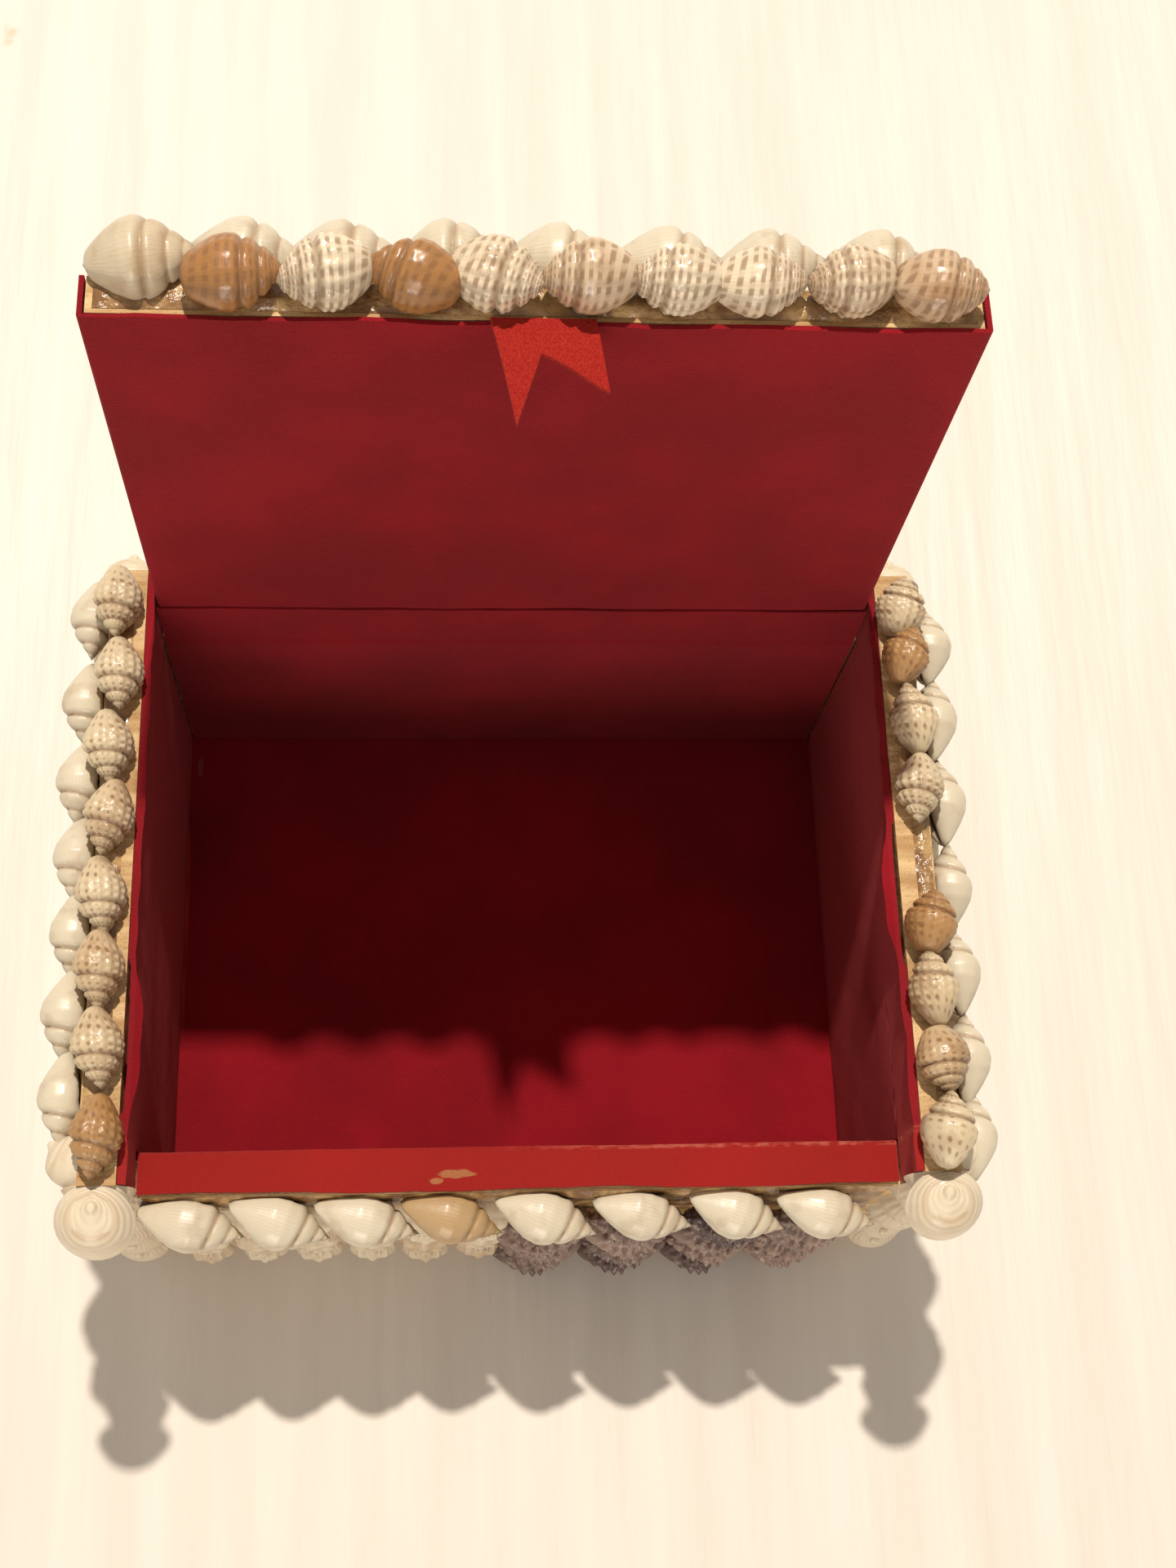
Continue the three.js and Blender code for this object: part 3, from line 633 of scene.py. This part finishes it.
LEFT_TOP = on_face((-TOP_X, 0, SIDE_TOP_Z), FRONT, UP)
RIGHT_TOP = on_face((TOP_X, 0, SIDE_TOP_Z), FRONT, UP)
left_y = (50.8, 35.8, 21.2, 7.1, -7.5, -21.5, -35.6, -51.0)
left_tone = (0.35, 0.25, 0.2, 0.4, 0.3, 0.5, 0.4, 0.95)
glue_down("left_top_whelks", dotted, "box", ["left_top_shells"], [
    (dotted_whelk(80 + i),
     seat(LEFT_TOP, -place, 0, rng.uniform(-9, 9), rng.uniform(-2, 2), rng.uniform(-20, 20)), tone)
    for i, (place, tone) in enumerate(zip(left_y, left_tone))])
squat = {"length": 12.6, "radius": 4.9, "blunt": 0.25, "ribs": 18, "rib_height": 0.03}
right_back = (
    (dotted_whelk(90, 12.6, 4.9, blunt=0.25), seat(RIGHT_TOP, -51.2, 0, 170, 14), 0.35),
    (dotted_whelk(91, 13.4, 4.6), seat(RIGHT_TOP, -40.6, 0.4, 160, 4), 0.9),
    (dotted_whelk(92), seat(RIGHT_TOP, -27.1, 0.3, 186, 2), 0.3),
    (dotted_whelk(93, 14.8), seat(RIGHT_TOP, -12.6, 0.6, -6, 2), 0.25))
right_front = (
    (dotted_whelk(94, **squat), seat(RIGHT_TOP, 13.6, 0.3, 168, 3), 1.0),
    (dotted_whelk(95), seat(RIGHT_TOP, 26.0, -0.4, 184, 2), 0.45),
    (dotted_whelk(96, **squat), seat(RIGHT_TOP, 39.6, 0.2, 10, 2), 0.6),
    (dotted_whelk(97, 14.6, 5.2, ribs=9, rib_height=0.015), seat(RIGHT_TOP, 52.2, 0, 172, 2), 0.1))
glue_down("right_top_whelks_back", dotted, "box", ["right_top_shells_back"], right_back)
glue_down("right_top_whelks_front", dotted, "box", ["right_top_shells_front"], right_front)

# --- Banded shells on the lid's edge --------------------------------------------------------------
# Nine plump glossy snail shells, banded cream, grey-brown and orange, glued in one line
# along the lid's free edge, spires either way.
banded = ShellFinish("banded_shell", (222, 206, 180), (164, 116, 68), (126, 92, 62), 0.8, gloss=0.26)
bands = (banded.turn * 3 + 0.4 * banded.cloud).within_turn()
band = bands.rise(0.3, 0.45) * bands.rise(0.95, 0.75)
patch = (banded.angle * 13 + 2.2 * banded.cloud).within_turn() - 0.5
mottle = (patch * patch + 0.25 * banded.noise(330, 4)).rise(0.27, 0.13)
body_colour = banded.between(band * (0.2 + 0.45 * mottle), banded.base, colour(126, 88, 56))
banded.close(body_colour, 0.25 * banded.growth + 0.4 * banded.cloud)
# Place along the edge, tone, turn on the edge and the side that the mouth is on.
edge_shells = (
    (-46.2, 0.95, 6, -90), (-32.6, 0.2, 188, -150), (-19.4, 1.0, 172, -90), (-6.8, 0.35, -8, -90),
    (6.9, 0.5, 176, -90), (20.2, 0.1, 184, -90), (33.0, 0.3, 6, -90), (46.6, 0.45, 190, -90),
    (60.6, 0.62, -6, -90))
glue_down("lid_edge_whelks", banded, "lid", ["lid_edge_shells"], [
    (whelk(15.0 + rng.uniform(-0.6, 0.4), 5.5 + rng.uniform(-0.2, 0.3), ribs=15,
           rib_height=0.015 + 0.035 * (i % 2), beads=0.4, suture=0.16, mouth=mouth, blunt=0.3, seed=110 + i,
           columns=75, belly=0.8),
     seat(LID_EDGE, place, 0.8 + rng.uniform(-0.3, 0.3), turn + rng.uniform(-8, 8), rng.uniform(0, 4)), tone)
    for i, (place, tone, turn, mouth) in enumerate(edge_shells)])

# --- Clam halves ----------------------------------------------------------------------------------
# Small clam and cockle halves glued hollow side down: three rows on each side wall and on the back,
# five on the lid, and six up each corner. One more leans back over each front corner, and one ends
# each side's rim row.


def clam(radius, height, ribs=0, rib_height=0.0, lines=7, line_height=0.06, frill=0.0, beak=0.74, seed=0,
         rows=20, columns=48):
    """Half shell on z = 0, beak towards +y. Rays fan out from the beak to a round rim whose radius
    has frills; height is a power of one less the square of the distance from the middle, with a
    bump at the beak, ribs along the rays and growth steps across them. The base closes to a point."""
    rng = np.random.default_rng(seed)
    k, v = np.meshgrid(np.linspace(0, 1, rows), np.arange(columns + 1) / columns, indexing="ij")
    ray = 2 * np.pi * v
    rim = radius * (1 + frill * np.cos(ribs * ray) + 0.03 * np.cos(2 * ray + rng.uniform(0, 6)))
    ahead = beak * rim * np.cos(ray)
    reach = ahead + np.sqrt(ahead**2 + (1 - beak**2) * rim**2)
    x = k * reach * np.sin(ray)
    y = beak * radius - k * reach * np.cos(ray)
    middle = np.clip(1 - (x**2 + y**2) / radius**2, 0, 1)
    dome = middle**0.55 * (1 - k**8) + 0.3 * np.exp(-((k / 0.14) ** 2))
    steps = (k * lines + 0.15 * np.cos(3 * ray)) % 1
    grow = line_height * steps * np.sin(np.pi * k) ** 0.5
    rib = rib_height * np.cos(ribs * ray) * np.clip(k * 2, 0, 1)
    z = height * (dome / 1.05 + (rib + grow) * np.clip(middle * 4, 0, 1)) + 0.25 * (1 - k**8)
    top = np.stack([x, y, z - 0.1], -1)
    foot = np.stack([x[-1:], y[-1:], 0 * x[-1:] - 0.2], -1)
    centre = np.zeros_like(foot) + (0, 0, -0.2)
    points = np.concatenate([top, foot, centre])
    points[0] = points[0].mean(0)
    # The groove number marks the growth steps, where the shell's finish paints shade.
    groove = np.clip(1 - steps * 1.6, 0, 1) * np.clip(np.sin(np.pi * k), 0, 1)
    surface = np.stack([v, k], -1)
    surface, groove = (np.concatenate([grid, grid[-1:], grid[-1:]]) for grid in (surface, groove))
    return points[:, :-1], surface, groove[:, :-1], 0 * groove[:, :-1]


fan = ShellFinish("clam_shell", (218, 204, 180), (190, 158, 120), (178, 144, 104), 0.5, gloss=0.4)
fan.close(fan.base, 0.25 * (fan.turn * 48 + 6 * fan.cloud).sine() + 0.6 * fan.cloud, 0.00018)


def clam_row(face, places, up=0.0, turn=0.0, radius=9.0, height=6.0, seed=0, tones=(0, 0.5), **shape):
    """A clam half at each place along a row, each a little different in size, turn and tone."""
    rng = np.random.default_rng(seed)
    return [(clam(radius * rng.uniform(0.94, 1.03), height * rng.uniform(0.88, 1.02), seed=seed + i, **shape),
             seat(face, place, up + rng.uniform(-0.4, 0.4), turn + rng.uniform(-16, 16)), rng.uniform(*tones))
            for i, place in enumerate(places)]


def even(count, pitch, middle=0.0):
    """Even places along a row."""
    return middle + (np.arange(count) - (count - 1) / 2) * pitch


COCKLE = {"tones": (0, 0.9), "ribs": 22, "rib_height": 0.04, "frill": 0.012, "line_height": 0.03,
          "columns": 88}
for side, sign in (("left", -1), ("right", 1)):
    for row, tall in ((2, 54.8), (3, 33.6), (4, 12.8)):
        face = on_face((sign * WALL_X, 0, tall), FRONT, (sign, 0, 0))
        shells = clam_row(face, even(6, 19.5), turn=0 if sign < 0 else 180, radius=11.3, height=6.3,
                          seed=200 + 10 * row + sign, **COCKLE)
        glue_down(f"{side}_cockles_{row}", fan, "box", [f"{side}_shells_{row}"], shells)
for side, face in (("left", LEFT_RIM), ("right", RIGHT_RIM)):
    glue_down(f"{side}_rim_clam", fan, "box", [], [
        (clam(5.6, 6.4, lines=3, line_height=0.02, seed=190, columns=40), seat(face, 54.6, 0, 90), 0.1)])
for row, tall in ((1, 51.2), (2, 31.6), (3, 12.2)):
    face = on_face((0, OUTER_Y, tall), LEFT, BACK)
    shells = clam_row(face, even(7, 18.1), radius=10.6, height=6.2, seed=260 + 10 * row, **COCKLE)
    glue_down(f"back_cockles_{row}", fan, "box", [f"back_shells_{row}"], shells)
for row, long in ((2, -86.6), (3, -67.9), (4, -49.1), (5, -30.3), (6, -11.6)):
    shells = clam_row(LID_FACE, even(7, 18.0), long, radius=10.1, height=6.2, seed=320 + 10 * row, **COCKLE)
    glue_down(f"lid_cockles_{row}", fan, "lid", [f"lid_shells_{row}"], shells)
for end, sy in (("front", -1), ("back", 1)):
    for side, sx in (("left", -1), ("right", 1)):
        face = on_face((sx * TOP_X, sy * OUTER_Y, SIDE_TOP_Z / 2 + 0.6), UP, (0, sy, 0))
        shells = clam_row(face, even(6, 12.2), turn=-90, radius=6.6, height=5.0,
                          seed=400 + 10 * sx + 40 * sy, columns=40, rows=16, tones=(0, 0.4))
        if end == "front":
            lean = on_face((sx * (TOP_X + 0.1), -OUTER_Y - 5.6, 70.9), RIGHT, (0, -0.55, 0.83))
            cap = clam(7.1, 4.6, lines=2, line_height=0.0, seed=450 + sx)
            shells.append((cap, seat(lean, 0, 0, 4 * sx), 0.15))
        glue_down(f"{end}_{side}_corner_clams", fan, "box", [f"{end}_{side}_end_shells"],
                  shells)

# --- Lower front shells ---------------------------------------------------------------------------
# Four rows under the rim: pale frilly clam halves on the left half, and rough dark drupe shells with
# rows of knobs on the right half.
rough = ShellFinish("dark_rough_shell", (150, 124, 112), (74, 52, 50), (48, 32, 32), 0.9, gloss=0.4)
tips = rough.noise(520, 3).rise(0.55, 0.72)
knobbed = rough.between(tips * 0.5, rough.base, colour(206, 186, 168))
rough.close(knobbed, rough.cloud + 0.5 * tips, 0.0006)
for row, tall in ((1, 44.95), (2, 32.6), (3, 20.4), (4, 8.3)):
    face = on_face((0, -OUTER_Y, tall), RIGHT, FRONT)
    about = 180 * (row % 2)
    shells = clam_row(face, even(6, 10.9, -34.2), turn=about, radius=6.2, height=5.4,
                      seed=500 + 10 * row, tones=(0.1, 0.6), ribs=9, rib_height=0.06, frill=0.06, lines=4,
                      line_height=0.14, columns=54)
    glue_down(f"front_pale_clams_{row}", fan, "box", [f"front_shells_{row}"], shells)
    glue_down(f"front_rough_whelks_{row}", rough, "box", [], [
        (whelk(18.6 + rng.uniform(-0.8, 0.8), 5.3 + rng.uniform(-0.2, 0.2), ribs=9, rib_height=0.17,
               beads=0.6, suture=0.2, seed=540 + 10 * row + i, columns=72, rows=72),
         seat(face, place, 0, about + rng.uniform(-10, 10), 0, rng.uniform(-40, 40)), rng.uniform(0.2, 1))
        for i, place in enumerate(even(4, 17.2, 30.6))])

# --- Camera, light and floor ----------------------------------------------------------------------
# Seen from above the front edge, leaning over it, under a high lamp behind the lid, on a floor of
# pale painted planks.
CAMERA_PLACE = (-0.0175, -0.1136, 0.4225)
yaw, tilt, roll = (math.radians(angle) for angle in (-13.31, 20.81, -12.41))
ahead = Vector((0, math.sin(tilt), -math.cos(tilt)))
right, down = Vector((1, 0, 0)), Vector((0, -math.cos(tilt), -math.sin(tilt)))
across = math.cos(roll) * right + math.sin(roll) * down
below = math.cos(roll) * down - math.sin(roll) * right
turned = Matrix.Rotation(yaw, 4, "Z") @ Matrix((across, -below, -ahead)).transposed().to_4x4()
camera = bpy.data.objects.new("camera", bpy.data.cameras.new("camera"))
camera.data.lens, camera.data.sensor_width = 45, 36
camera.data.clip_start, camera.data.clip_end = 0.01, 20
camera.matrix_world = Matrix.Translation(CAMERA_PLACE) @ turned
bpy.context.scene.collection.objects.link(camera)
bpy.context.scene.camera = camera


def lamp(name, place, target, power, size, tint):
    """Square area lamp at a place, aimed at a target."""
    light = bpy.data.lights.new(name, "AREA")
    light.shape, light.size, light.energy, light.color = "SQUARE", size, power, tint
    made = bpy.data.objects.new(name, light)
    made.location = place
    made.rotation_mode = "QUATERNION"
    made.rotation_quaternion = (Vector(target) - Vector(place)).to_track_quat("-Z", "Y")
    bpy.context.scene.collection.objects.link(made)


lamp("key", (-0.04, 0.88, 2.05), target=(0, 0, 0.05), power=53, size=0.06, tint=(1.0, 0.92, 0.81))
lamp("fill", (-0.3, -2.0, 0.5), target=(0, 0, 0.1), power=17, size=0.7, tint=(1.0, 0.92, 0.82))
world = bpy.data.worlds.new("studio")
world.use_nodes = True
background = world.node_tree.nodes["Background"]
background.inputs["Color"].default_value = (1.0, 0.92, 0.8, 1)
background.inputs["Strength"].default_value = 0.42
bpy.context.scene.world = world
bpy.context.scene.view_settings.view_transform = "Standard"

FLOOR_HALF, FLOOR_THICK = 1600.0, 4.0
floor = Finish("painted_floor", Specular_IOR_Level=0.4)
grain = floor.noise(60, 5, (1.6, 0.12, 1))
brush = floor.noise(260, 3, (1, 0.1, 1))
paint = floor.between(grain.rise(0.3, 0.75), colour(216, 207, 198), colour(224, 216, 208))
stains = floor.noise(34, 5).rise(0.7, 0.78) * brush.rise(0.5, 0.6)
paint = floor.between(stains, paint, colour(196, 180, 150))
floor.connect(Base_Color=paint, Roughness=0.42 + 0.2 * brush, height=grain + 0.6 * brush, depth=0.0006)
wide, deep = np.meshgrid((-FLOOR_HALF, FLOOR_HALF), (-FLOOR_HALF, FLOOR_HALF))
ground = np.stack([wide, deep, 0 * wide], -1)
studio_floor = add_sheet("floor_paint", ground, ground - (0, 0, FLOOR_THICK), floor)
